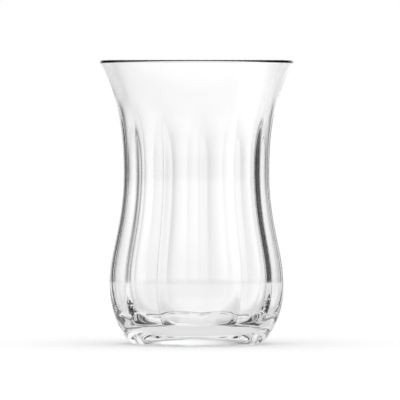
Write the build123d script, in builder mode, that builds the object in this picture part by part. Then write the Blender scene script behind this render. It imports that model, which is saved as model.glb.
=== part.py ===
from build123d import *
import os
from math import cos, radians, sin

# Waisted tea glass, empty: one piece of clear glass, with shallow flutes inside its wall.
# Millimetres, +Z up. The origin is on the glass's axis, in the plane that it stands on.

# Outside
height = 91.0
rim_diameter = 62.1
waist_diameter = 47.0
waist_height = 55.2
belly_diameter = 56.1
belly_height = 20.0
foot_diameter = 39.6            # outer edge of the flat ring that the glass stands on
foot_ring_width = 2.0
foot_corner_radius = 2.0
underside_rise = 0.9            # the underside is hollowed by this much at the axis

# Glass thickness
lip_thickness = 1.4             # the lip is fully rounded
waist_wall = 2.0
belly_wall = 2.3
base_thickness = 4.2            # from the table to the floor inside, at the foot ring
floor_diameter = 27.0           # the flat middle of the floor inside

# Flutes, pressed into the inner face of the wall
flute_count = 12
flute_phase = 2.0               # degrees from -Y to the nearest ridge
flute_depth = 0.7
flute_full_from = 12.0          # height where the flutes reach their full depth
flute_full_to = 58.0            # height where they start to fade
flute_end = 80.0                # height where they have gone

# Directions of the side, in degrees from upright, and how far each curve holds them,
# as a share of its own rise
lip_lean = 30.0
foot_lean = 49.0
lip_hold = 0.19
above_waist_hold = 0.55
below_waist_hold = 0.475
above_belly_hold = 0.275
below_belly_hold = 0.65
foot_hold = 0.09
bowl_wall_hold = 0.55
bowl_floor_hold = 0.60

# Where the outside's curves meet
lip_radius = lip_thickness / 2
foot_radius = foot_diameter / 2
lip_centre = Vector(rim_diameter / 2 - lip_radius, height - lip_radius)
lip_outward = Vector(cos(radians(lip_lean)), -sin(radians(lip_lean)))
lip_along = Vector(sin(radians(lip_lean)), cos(radians(lip_lean)))
lip_outer = lip_centre + lip_outward * lip_radius
lip_inner = lip_centre - lip_outward * lip_radius
foot_outward = Vector(cos(radians(foot_lean)), -sin(radians(foot_lean)))
foot_along = Vector(sin(radians(foot_lean)), cos(radians(foot_lean)))
foot_side = Vector(foot_radius, foot_corner_radius) + foot_outward * foot_corner_radius
belly = Vector(belly_diameter / 2, belly_height)
waist = Vector(waist_diameter / 2, waist_height)

# Rises of the side's three curves
lip_rise = lip_outer.Y - waist.Y
waist_rise = waist.Y - belly.Y
belly_rise = belly.Y - foot_side.Y

# The same places on the inner face, at the flutes' ridges
inner_belly = belly - Vector(belly_wall, 0)
inner_waist = waist - Vector(waist_wall, 0)
floor_edge = Vector(floor_diameter / 2, base_thickness)
bowl_rise = inner_belly.Y - floor_edge.Y
bowl_reach = inner_belly.X - floor_edge.X


def upright(length):
    return Vector(0, length)


def smooth_step(share):
    share = min(max(share, 0.0), 1.0)
    return share * share * (3 - 2 * share)


def depth_at(z):
    rising = smooth_step((z - base_thickness) / (flute_full_from - base_thickness))
    fading = smooth_step((z - flute_full_to) / (flute_end - flute_full_to))
    return flute_depth * rising * (1 - fading)


def around(radius, degrees_from_front):
    angle = radians(degrees_from_front)
    return (radius * sin(angle), -radius * cos(angle))


# Inner face, as its outline through the ridges: X is the radius and Y the height
with BuildLine() as ridge_line:
    bowl = Bezier(
        floor_edge,
        floor_edge + Vector(bowl_floor_hold * bowl_reach, 0),
        inner_belly - upright(bowl_wall_hold * bowl_rise),
        inner_belly,
    )
    inner_side = Bezier(
        inner_belly,
        inner_belly + upright(above_belly_hold * waist_rise),
        inner_waist - upright(below_waist_hold * waist_rise),
        inner_waist,
    )
    inner_mouth = Bezier(
        inner_waist,
        inner_waist + upright(above_waist_hold * lip_rise),
        lip_inner - lip_along * lip_hold * lip_rise,
        lip_inner,
    )

# Cavity, from a section of flutes at each of these shares of the three curves
bowl_shares = [0.0, 0.1, 0.2, 0.32, 0.45, 0.6, 0.8]
side_shares = [0.0, 0.17, 0.34, 0.5, 0.66, 0.83]
mouth_shares = [0.0, 0.16, 0.32, 0.48, 0.64, 0.82, 1.0]
stations = [bowl @ share for share in bowl_shares]
stations += [inner_side @ share for share in side_shares]
stations += [inner_mouth @ share for share in mouth_shares]


def fluted_section(ridge, depth, z):
    # One arc for each flute, even where the depth is nothing: a builder would join the
    # arcs of a plain circle into one edge, and the loft needs as many in each section.
    flute_angle = 360 / flute_count
    arcs = []
    for flute in range(flute_count):
        start = flute_phase + flute * flute_angle
        first = around(ridge, start)
        middle = around(ridge + depth, start + flute_angle / 2)
        last = around(ridge, start + flute_angle)
        arcs.append(Edge.make_three_point_arc((*first, z), (*middle, z), (*last, z)))
    return Face(Wire(arcs))


sections = [fluted_section(place.X, depth_at(place.Y), place.Y) for place in stations]

with BuildPart() as cavity:
    loft(sections=sections)

# Glass, turned from its outline and then hollowed
with BuildPart() as glass:
    with BuildSketch(Plane.XZ):
        with BuildLine():
            under = TangentArc(
                (0, underside_rise),
                (foot_radius - foot_ring_width, 0),
                tangent=(1, 0),
            )
            foot_ring = Line(under @ 1, (foot_radius, 0))
            TangentArc(foot_ring @ 1, foot_side, tangent=(1, 0))
            Bezier(
                foot_side,
                foot_side + foot_along * foot_hold * belly_rise,
                belly - upright(below_belly_hold * belly_rise),
                belly,
            )
            Bezier(
                belly,
                belly + upright(above_belly_hold * waist_rise),
                waist - upright(below_waist_hold * waist_rise),
                waist,
            )
            Bezier(
                waist,
                waist + upright(above_waist_hold * lip_rise),
                lip_outer - lip_along * lip_hold * lip_rise,
                lip_outer,
            )
            lip = TangentArc(lip_outer, lip_inner, tangent=lip_along)
            Polyline(lip @ 1, (0, lip_inner.Y), (0, underside_rise))
        make_face()
    revolve(axis=Axis.Z)
    add(cavity.part, mode=Mode.SUBTRACT)

glass.part.label = "glass"
os.makedirs("parts", exist_ok=True)
export_step(glass.part, "parts/glass.step")

brimful_ml = cavity.part.volume / 1000
print(f"glass {glass.part.volume:.0f} mm3, holds about {brimful_ml:.0f} ml to the brim")
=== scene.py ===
import math
import bpy
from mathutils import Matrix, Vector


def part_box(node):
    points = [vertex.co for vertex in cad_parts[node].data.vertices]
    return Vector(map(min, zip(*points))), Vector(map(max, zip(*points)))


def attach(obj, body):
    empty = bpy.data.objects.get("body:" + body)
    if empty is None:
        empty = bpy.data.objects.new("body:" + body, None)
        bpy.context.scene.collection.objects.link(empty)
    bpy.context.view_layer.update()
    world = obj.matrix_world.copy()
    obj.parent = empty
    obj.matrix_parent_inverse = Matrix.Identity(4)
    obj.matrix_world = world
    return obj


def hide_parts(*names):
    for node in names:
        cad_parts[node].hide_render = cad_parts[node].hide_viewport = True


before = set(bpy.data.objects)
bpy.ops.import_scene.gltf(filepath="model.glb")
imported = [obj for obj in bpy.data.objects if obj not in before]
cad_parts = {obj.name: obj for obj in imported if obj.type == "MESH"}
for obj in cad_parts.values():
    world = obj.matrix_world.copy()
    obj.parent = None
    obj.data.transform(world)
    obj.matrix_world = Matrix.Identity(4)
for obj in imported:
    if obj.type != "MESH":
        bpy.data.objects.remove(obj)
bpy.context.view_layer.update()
glassLow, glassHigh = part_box("glass")
print("frame loaded")


def newObject(name, data):
    thing = bpy.data.objects.new(name, data)
    bpy.context.scene.collection.objects.link(thing)
    return thing


# The glass's outline, turned round the axis; lengths in metres.
# Its height and the rim's width come from the frame.
glassShape = {
    "waistRadius": 0.0235, "waistHeight": 0.0552,
    "bellyRadius": 0.02805, "bellyHeight": 0.0200,
    "footRadius": 0.0198, "footRing": 0.0020, "footCorner": 0.0020,
    "undersideRise": 0.0009,
    "lipRadius": 0.0007, "waistWall": 0.0020, "bellyWall": 0.0023,
    "baseThickness": 0.0042, "floorRadius": 0.0135,
    "lipLean": 30, "footLean": 49,            # degrees from upright
    "lipHold": 0.19, "aboveWaistHold": 0.55, "belowWaistHold": 0.475,
    "aboveBellyHold": 0.275, "belowBellyHold": 0.65, "footHold": 0.09,
    "bowlWallHold": 0.55, "bowlFloorHold": 0.60,
}

# mesh rows in each stretch of the outline
glassRows = {
    "underside": 14, "footRing": 4, "footCorner": 8, "belowBelly": 36,
    "aboveBelly": 44, "aboveWaist": 44, "lip": 22, "floor": 14, "bowl": 50,
}

fluteShape = {
    "count": 12, "phase": 2.0, "depth": 0.0009,
    "fullFrom": 0.012, "fullTo": 0.058, "end": 0.080,
    "ridgeRounding": 2.2,        # degrees each side of a ridge
    "unevenness": 0.18,          # how much the flutes differ in depth
    "unevenTurn": 2.4, "unevenStart": 0.8,    # radians, which flutes are the deep ones
    "columns": 20,               # mesh columns in one flute
}


def bezier(start, startPull, endPull, end, steps):
    points = []
    for step in range(steps):
        t = step / steps
        a, b, c, d = (1 - t) ** 3, 3 * (1 - t) ** 2 * t, 3 * (1 - t) * t ** 2, t ** 3
        points.append((a * start[0] + b * startPull[0] + c * endPull[0] + d * end[0],
                       a * start[1] + b * startPull[1] + c * endPull[1] + d * end[1]))
    return points


def arc(centre, radius, fromDegrees, toDegrees, steps):
    points = []
    for step in range(steps):
        angle = math.radians(fromDegrees + (toDegrees - fromDegrees) * step / steps)
        points.append((centre[0] + radius * math.cos(angle), centre[1] + radius * math.sin(angle)))
    return points


def move(point, right=0.0, up=0.0):
    return (point[0] + right, point[1] + up)


def smoothStep(share):
    share = min(max(share, 0.0), 1.0)
    return share * share * (3 - 2 * share)


def outlines(shape, rows):
    # the outer outline from the axis up to the lip, and the inner one from the lip down to the axis
    height = glassHigh.z - glassLow.z
    rimRadius = (glassHigh.x - glassLow.x) / 2
    lipRadius, footRadius, footCorner = shape["lipRadius"], shape["footRadius"], shape["footCorner"]
    lean, footLean = math.radians(shape["lipLean"]), math.radians(shape["footLean"])
    lipCentre = (rimRadius - lipRadius, height - lipRadius)
    lipOuter = move(lipCentre, lipRadius * math.cos(lean), -lipRadius * math.sin(lean))
    lipInner = move(lipCentre, -lipRadius * math.cos(lean), lipRadius * math.sin(lean))
    footCentre = (footRadius, footCorner)
    footSide = move(footCentre, footCorner * math.cos(footLean), -footCorner * math.sin(footLean))
    belly = (shape["bellyRadius"], shape["bellyHeight"])
    waist = (shape["waistRadius"], shape["waistHeight"])
    lipRise, waistRise, bellyRise = lipOuter[1] - waist[1], waist[1] - belly[1], belly[1] - footSide[1]
    lipPull, footPull = shape["lipHold"] * lipRise, shape["footHold"] * bellyRise
    aboveWaist, belowWaist = shape["aboveWaistHold"] * lipRise, shape["belowWaistHold"] * waistRise
    aboveBelly, belowBelly = shape["aboveBellyHold"] * waistRise, shape["belowBellyHold"] * bellyRise

    ringWidth = shape["footRing"]
    ringInner = footRadius - ringWidth
    rise = shape["undersideRise"]
    domeRadius = (ringInner ** 2 + rise ** 2) / (2 * rise)
    domeAngle = math.degrees(math.asin(ringInner / domeRadius))
    outer = arc((0, rise - domeRadius), domeRadius, 90, 90 - domeAngle, rows["underside"])
    outer += bezier((ringInner, 0), (ringInner + ringWidth / 3, 0),
                    (footRadius - ringWidth / 3, 0), (footRadius, 0), rows["footRing"])
    outer += arc(footCentre, footCorner, -90, -shape["footLean"], rows["footCorner"])
    outer += bezier(footSide, move(footSide, footPull * math.sin(footLean), footPull * math.cos(footLean)),
                    move(belly, up=-belowBelly), belly, rows["belowBelly"])
    outer += bezier(belly, move(belly, up=aboveBelly),
                    move(waist, up=-belowWaist), waist, rows["aboveBelly"])
    outer += bezier(waist, move(waist, up=aboveWaist),
                    move(lipOuter, -lipPull * math.sin(lean), -lipPull * math.cos(lean)),
                    lipOuter, rows["aboveWaist"])
    outer += arc(lipCentre, lipRadius, -shape["lipLean"], 180 - shape["lipLean"], rows["lip"])

    innerBelly = move(belly, -shape["bellyWall"])
    innerWaist = move(waist, -shape["waistWall"])
    floorEdge = (shape["floorRadius"], shape["baseThickness"])
    bowlRise, bowlReach = innerBelly[1] - floorEdge[1], innerBelly[0] - floorEdge[0]
    inner = bezier((0, floorEdge[1]), (floorEdge[0] / 3, floorEdge[1]),
                   (floorEdge[0] * 2 / 3, floorEdge[1]), floorEdge, rows["floor"])
    inner += bezier(floorEdge, move(floorEdge, shape["bowlFloorHold"] * bowlReach),
                    move(innerBelly, up=-shape["bowlWallHold"] * bowlRise), innerBelly, rows["bowl"])
    inner += bezier(innerBelly, move(innerBelly, up=aboveBelly),
                    move(innerWaist, up=-belowWaist), innerWaist, rows["aboveBelly"])
    inner += bezier(innerWaist, move(innerWaist, up=aboveWaist),
                    move(lipInner, -lipPull * math.sin(lean), -lipPull * math.cos(lean)),
                    lipInner, rows["aboveWaist"])
    inner.append(lipInner)
    return outer, inner[::-1]


def fluteDepthAt(height, flutes, shape):
    start = shape["baseThickness"]
    rising = smoothStep((height - start) / (flutes["fullFrom"] - start))
    fading = smoothStep((height - flutes["fullTo"]) / (flutes["end"] - flutes["fullTo"]))
    return flutes["depth"] * rising * (1 - fading)


def scallop(radius, depth, degreesFromMiddle, halfFlute):
    # how far one round flute stands outside the circle through its two ridges
    tooShallow = 1e-9
    if depth < tooShallow:
        return 0.0
    half, angle = math.radians(halfFlute), math.radians(degreesFromMiddle)
    centre = ((radius + depth) ** 2 - radius ** 2) / (2 * (radius + depth - radius * math.cos(half)))
    fluteRadius = radius + depth - centre
    return centre * math.cos(angle) + math.sqrt(fluteRadius ** 2 - (centre * math.sin(angle)) ** 2) - radius


def fluteColumns(flutes):
    # for every mesh column: its direction, how far it is from the middle of its flute,
    # and how deep that flute is beside the others
    halfFlute = 180 / flutes["count"]
    rounding = flutes["ridgeRounding"]
    columns = []
    for flute in range(flutes["count"]):
        start = flutes["phase"] + flute * 2 * halfFlute
        wave = math.sin(flutes["unevenTurn"] * flute + flutes["unevenStart"])
        depthShare = 1 + flutes["unevenness"] * wave
        for column in range(flutes["columns"]):
            place = halfFlute * (1 - math.cos(math.pi * column / flutes["columns"]))
            fromRidge = min(place, 2 * halfFlute - place)
            rounded = math.hypot(fromRidge, rounding) * halfFlute / math.hypot(halfFlute, rounding)
            columns.append((start + place, halfFlute - rounded, depthShare))
    return columns


def makeGlass(shape, rows, flutes):
    outer, inner = outlines(shape, rows)
    halfFlute = 180 / flutes["count"]
    columns = fluteColumns(flutes)
    rings = [(r, z, False) for r, z in outer] + [(r, z, True) for r, z in inner]
    verts = [(0, 0, rings[0][1])]
    for r, z, isInner in rings[1:-1]:
        depth = fluteDepthAt(z, flutes, shape) if isInner else 0
        for degrees, fromMiddle, depthShare in columns:
            here = r + scallop(r, depth * depthShare, fromMiddle, halfFlute)
            angle = math.radians(degrees)
            verts.append((here * math.sin(angle), -here * math.cos(angle), z))
    verts.append((0, 0, rings[-1][1]))
    faces = []
    across = len(columns)
    last = len(verts) - 1
    ringCount = len(rings) - 2       # the first and last are single points on the axis
    for column in range(across):
        after = (column + 1) % across
        faces.append((0, 1 + after, 1 + column))
        for ring in range(ringCount - 1):
            low, high = 1 + ring * across, 1 + (ring + 1) * across
            faces.append((low + column, low + after, high + after, high + column))
        top = 1 + (ringCount - 1) * across
        faces.append((top + column, top + after, last))
    mesh = bpy.data.meshes.new("teaGlass")
    mesh.from_pydata(verts, [], faces)
    mesh.validate()
    mesh.shade_smooth()
    return newObject("teaGlass", mesh)


glassLook = {
    "waveScale": 70.0, "waveDetail": 2.0,
    "waveHeight": 0.00001,         # metres
    "roughness": (0.0, 0.012),
    "refraction": 1.52,
    "tint": (0.80, 0.81, 0.81, 1), "tintDensity": 12.0,
}


def glassMaterial():
    mat = bpy.data.materials.new("clearGlass")
    mat.use_nodes = True
    nodes, links = mat.node_tree.nodes, mat.node_tree.links
    shader = nodes["Principled BSDF"]
    shader.inputs["Base Color"].default_value = (1, 1, 1, 1)
    shader.inputs["IOR"].default_value = glassLook["refraction"]
    shader.inputs["Transmission Weight"].default_value = 1.0
    # pressed glass is a little wavy, and not polished quite evenly
    coord = nodes.new("ShaderNodeTexCoord")
    waves = nodes.new("ShaderNodeTexNoise")
    waves.inputs["Scale"].default_value = glassLook["waveScale"]
    waves.inputs["Detail"].default_value = glassLook["waveDetail"]
    links.new(coord.outputs["Object"], waves.inputs["Vector"])
    bump = nodes.new("ShaderNodeBump")
    bump.inputs["Strength"].default_value = 1.0
    bump.inputs["Distance"].default_value = glassLook["waveHeight"]
    links.new(waves.outputs[0], bump.inputs["Height"])
    links.new(bump.outputs[0], shader.inputs["Normal"])
    polish = nodes.new("ShaderNodeMapRange")
    smoothest, roughest = glassLook["roughness"]
    polish.inputs["To Min"].default_value = smoothest
    polish.inputs["To Max"].default_value = roughest
    links.new(waves.outputs[0], polish.inputs["Value"])
    links.new(polish.outputs["Result"], shader.inputs["Roughness"])
    # thick glass takes away a little light
    vol = nodes.new("ShaderNodeVolumeAbsorption")
    vol.inputs["Color"].default_value = glassLook["tint"]
    vol.inputs["Density"].default_value = glassLook["tintDensity"]
    links.new(vol.outputs[0], nodes["Material Output"].inputs["Volume"])
    return mat


glass = makeGlass(glassShape, glassRows, fluteShape)
glass.data.materials.append(glassMaterial())
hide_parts("glass")
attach(glass, "root")
print("glass made", len(glass.data.polygons), "faces")


studio = {
    "floorRadius": 4.0, "floorSides": 128,
    "floorColour": (0.86, 0.86, 0.86, 1),
    "floorGlow": 0.2,              # what the camera sees on top of the floor's own white
    # the floor seen by way of the glass: a painted pale glow near the glass, and beyond it a painted
    # reflection of the panels
    "paleFullTo": 0.30, "paleGoneAt": 0.90,      # the pale patch round the glass on the floor
    "paleShare": 0.80, "paleLevel": 0.95,
    "windows": (0, -90),           # compass directions of the bright panels, 0 is +Y and 90 is +X
    "panel": (                     # degrees from the panel's direction, and how bright it is there
        (-34, 0.03), (-26, 0.10), (-19, 0.50), (-11, 0.76), (-5, 0.87), (1, 0.94),
        (8, 1.0), (17, 1.0), (24, 0.55), (33, 0.10), (42, 0.03),
    ),
    "panelStrength": 1.14,
    "panelTop": 40, "panelTopSoftness": 8,       # degrees above the horizon
    "abovePanels": 0.60,
    "overheadFrom": 55, "overheadSoftness": 5,
}


def mathNodes(nodes, links):
    def calculate(operation, first, second=0.0, third=0.0):
        node = nodes.new("ShaderNodeMath")
        node.operation = operation
        for socket, value in zip(node.inputs, (first, second, third)):
            if isinstance(value, (int, float)):
                socket.default_value = value
            else:
                links.new(value, socket)
        return node.outputs[0]
    return calculate


def grey(level):
    return (level, level, level, 1)


def panelPattern(nodes, links, calculate, x, y):
    # how bright the studio is in the compass direction of x, y
    share = calculate("MULTIPLY_ADD", calculate("ARCTAN2", x, y), 0.5 / math.pi, 0.5)
    stops = []
    for window in studio["windows"]:
        for turn, level in studio["panel"]:
            stops.append((0.5 + (window + turn) / 360, level))
    stops.sort()
    ramp = nodes.new("ShaderNodeValToRGB")
    elements = ramp.color_ramp.elements
    elements[0].position, elements[0].color = stops[0][0], grey(stops[0][1])
    elements[1].position, elements[1].color = stops[-1][0], grey(stops[-1][1])
    for position, level in stops[1:-1]:
        element = elements.new(position)
        element.color = grey(level)
    links.new(share, ramp.inputs[0])
    return ramp.outputs[0]


def fade(nodes, links, value, fromMin, fromMax, toMin, toMax):
    node = nodes.new("ShaderNodeMapRange")
    node.interpolation_type = "SMOOTHSTEP"
    node.inputs["From Min"].default_value = fromMin
    node.inputs["From Max"].default_value = fromMax
    node.inputs["To Min"].default_value = toMin
    node.inputs["To Max"].default_value = toMax
    links.new(value, node.inputs["Value"])
    return node.outputs["Result"]


def fadeInHeight(nodes, links, value, degrees, softness, toMin, toMax):
    lower, upper = math.radians(degrees - softness), math.radians(degrees + softness)
    return fade(nodes, links, value, math.sin(lower), math.sin(upper), toMin, toMax)


def seenByWayOfGlass(nodes, calculate):
    # 1 for a ray that comes by reflection or through glass, 0 for the camera's own and for plain light
    path = nodes.new("ShaderNodeLightPath")
    return calculate("MAXIMUM", path.outputs["Is Glossy Ray"], path.outputs["Is Transmission Ray"])


def makeFloor():
    bpy.ops.mesh.primitive_circle_add(vertices=studio["floorSides"], radius=studio["floorRadius"],
                                      fill_type="NGON", location=(0, 0, glassLow.z))
    floor = bpy.context.object
    floor.name = "studioFloor"
    mat = bpy.data.materials.new("paleFloor")
    mat.use_nodes = True
    nodes, links = mat.node_tree.nodes, mat.node_tree.links
    nodes.clear()
    calculate = mathNodes(nodes, links)
    path = nodes.new("ShaderNodeLightPath")
    plain = nodes.new("ShaderNodeBsdfDiffuse")
    plain.inputs["Color"].default_value = studio["floorColour"]
    glow = nodes.new("ShaderNodeEmission")
    glow.inputs["Color"].default_value = grey(1)
    glowStrength = calculate("MULTIPLY", path.outputs["Is Camera Ray"], studio["floorGlow"])
    links.new(glowStrength, glow.inputs["Strength"])
    seen = nodes.new("ShaderNodeAddShader")
    links.new(plain.outputs[0], seen.inputs[0])
    links.new(glow.outputs[0], seen.inputs[1])
    # seen by way of the glass, the floor glows with a painted reflection of the panels' pattern, and with a
    # paler painted glow near the glass
    place = nodes.new("ShaderNodeNewGeometry")
    split = nodes.new("ShaderNodeSeparateXYZ")
    links.new(place.outputs["Position"], split.inputs[0])
    x, y = split.outputs["X"], split.outputs["Y"]
    distance = calculate("SQRT", calculate("ADD", calculate("MULTIPLY", x, x), calculate("MULTIPLY", y, y)))
    pale = fade(nodes, links, distance, studio["paleFullTo"], studio["paleGoneAt"], studio["paleShare"], 0)
    pattern = calculate("MULTIPLY", panelPattern(nodes, links, calculate, x, y), studio["panelStrength"])
    level = calculate("ADD", calculate("MULTIPLY", pattern, calculate("SUBTRACT", 1.0, pale)),
                      calculate("MULTIPLY", pale, studio["paleLevel"]))
    # painted reflection of the panels on the floor, an emission though the floor is no lamp
    paintedPanelReflection = nodes.new("ShaderNodeEmission")
    paintedPanelReflection.inputs["Color"].default_value = grey(1)
    links.new(level, paintedPanelReflection.inputs["Strength"])
    mix = nodes.new("ShaderNodeMixShader")
    links.new(seenByWayOfGlass(nodes, calculate), mix.inputs["Fac"])
    links.new(seen.outputs[0], mix.inputs[1])
    links.new(paintedPanelReflection.outputs[0], mix.inputs[2])
    out = nodes.new("ShaderNodeOutputMaterial")
    links.new(mix.outputs[0], out.inputs["Surface"])
    floor.data.materials.append(mat)


def makeWorld():
    world = bpy.data.worlds.new("studio")
    bpy.context.scene.world = world
    world.use_nodes = True
    nodes, links = world.node_tree.nodes, world.node_tree.links
    nodes.clear()
    calculate = mathNodes(nodes, links)
    coord = nodes.new("ShaderNodeTexCoord")
    split = nodes.new("ShaderNodeSeparateXYZ")
    links.new(coord.outputs["Generated"], split.inputs[0])
    pattern = panelPattern(nodes, links, calculate, split.outputs["X"], split.outputs["Y"])
    # above the panels it is grey, with a soft box overhead
    height = split.outputs["Z"]
    inPanels = fadeInHeight(nodes, links, height, studio["panelTop"], studio["panelTopSoftness"], 1, 0)
    over = fadeInHeight(nodes, links, height, studio["overheadFrom"], studio["overheadSoftness"], 0, 1)
    above = calculate("MULTIPLY", calculate("SUBTRACT", 1.0, inPanels), studio["abovePanels"])
    sides = calculate("ADD", calculate("MULTIPLY", pattern, inPanels), above)
    level = calculate("ADD", sides, calculate("MULTIPLY", over, 1 - studio["abovePanels"]))
    level = calculate("MULTIPLY", level, studio["panelStrength"])
    # all other rays find an even white
    mix = nodes.new("ShaderNodeMix")
    mix.data_type = "FLOAT"
    links.new(seenByWayOfGlass(nodes, calculate), mix.inputs["Factor"])
    mix.inputs["A"].default_value = 1.0
    links.new(level, mix.inputs["B"])
    bg = nodes.new("ShaderNodeBackground")
    bg.inputs["Color"].default_value = grey(1)
    links.new(mix.outputs["Result"], bg.inputs["Strength"])
    out = nodes.new("ShaderNodeOutputWorld")
    links.new(bg.outputs[0], out.inputs["Surface"])


makeFloor()
makeWorld()
print("studio made")


# The camera stands level with the rim and looks down a little; lengths in metres.
cameraPlace = {
    "distance": 2.264,
    "aimHeight": 0.0461,
    "aimRight": 0.00103,
    "frameWidth": 0.1282,      # how much of the scene the picture takes in, at the glass
    "seesAsFarAs": 20,
}


def placeCamera(place):
    data = bpy.data.cameras.new("camera")
    camera = newObject("camera", data)
    sensorWidth = 36           # millimetres
    data.sensor_width = sensorWidth
    data.lens = sensorWidth * place["distance"] / place["frameWidth"]
    data.clip_end = place["seesAsFarAs"]
    camera.location = (place["aimRight"], -place["distance"], glassHigh.z)
    tilt = math.atan((glassHigh.z - place["aimHeight"]) / place["distance"])
    camera.rotation_euler = (math.radians(90) - tilt, 0, 0)
    bpy.context.scene.camera = camera


placeCamera(cameraPlace)
print("camera placed")

lightBounces = {"all": 24, "transmission": 24, "glossy": 12}    # clear glass needs many
scene = bpy.context.scene
scene.view_settings.view_transform = "Standard"
scene.cycles.max_bounces = lightBounces["all"]
scene.cycles.transmission_bounces = lightBounces["transmission"]
scene.cycles.glossy_bounces = lightBounces["glossy"]
